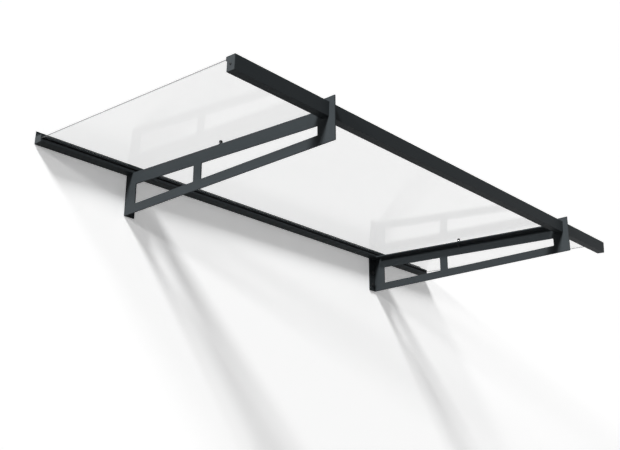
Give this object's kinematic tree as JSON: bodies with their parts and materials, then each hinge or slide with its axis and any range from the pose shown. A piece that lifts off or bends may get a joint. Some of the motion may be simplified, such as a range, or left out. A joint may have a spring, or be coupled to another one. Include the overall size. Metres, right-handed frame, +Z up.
{
  "type": "door canopy",
  "caption": "Clear sheet roof for over a door, held between a wall rail and a front beam on folded metal brackets.",
  "frame": {"origin": "middle of the wall rail's back face, on the wall", "axes": "+X along the wall, +Y into the wall, +Z up"},
  "size_m": [2.0094, 0.9, 0.183],
  "materials": {
    "powder_coat": "anthracite powder coat, satin, fine grain",
    "clear_sheet": "clear acrylic, polished, with brighter sawn edges",
    "cap_plastic": "dark grey moulded plastic, matte",
    "seal_rubber": "black extruded rubber, matte",
    "screw_metal": "dark blackened steel, satin"
  },
  "bodies": {
    "root": {"beam_cap_screw_left": "screw_metal", "beam_cap_screw_right": "screw_metal", "beam_end_cap_left": "cap_plastic", "beam_end_cap_right": "cap_plastic", "beam_seal": "seal_rubber", "bolt_pad_left": "seal_rubber", "bolt_pad_right": "seal_rubber", "bracket_left": "powder_coat", "bracket_right": "powder_coat", "clear_sheet": "clear_sheet", "flange_nut_left": "screw_metal", "flange_nut_right": "screw_metal", "front_beam": "powder_coat", "nut_washer_left": "screw_metal", "nut_washer_right": "screw_metal", "rail_end_cap_left": "cap_plastic", "rail_end_cap_right": "cap_plastic", "rail_screw_1": "screw_metal", "rail_screw_2": "screw_metal", "rail_screw_3": "screw_metal", "rail_screw_4": "screw_metal", "rail_seal": "seal_rubber", "sheet_bolt_left": "screw_metal", "sheet_bolt_right": "screw_metal", "sheet_spacer_left": "seal_rubber", "sheet_spacer_right": "seal_rubber", "wall_rail": "powder_coat", "wall_screw_left_lower": "screw_metal", "wall_screw_left_upper": "screw_metal", "wall_screw_right_lower": "screw_metal", "wall_screw_right_upper": "screw_metal", "wall_washer_left_lower": "screw_metal", "wall_washer_left_upper": "screw_metal", "wall_washer_right_lower": "screw_metal", "wall_washer_right_upper": "screw_metal"}
  },
  "joints": []
}
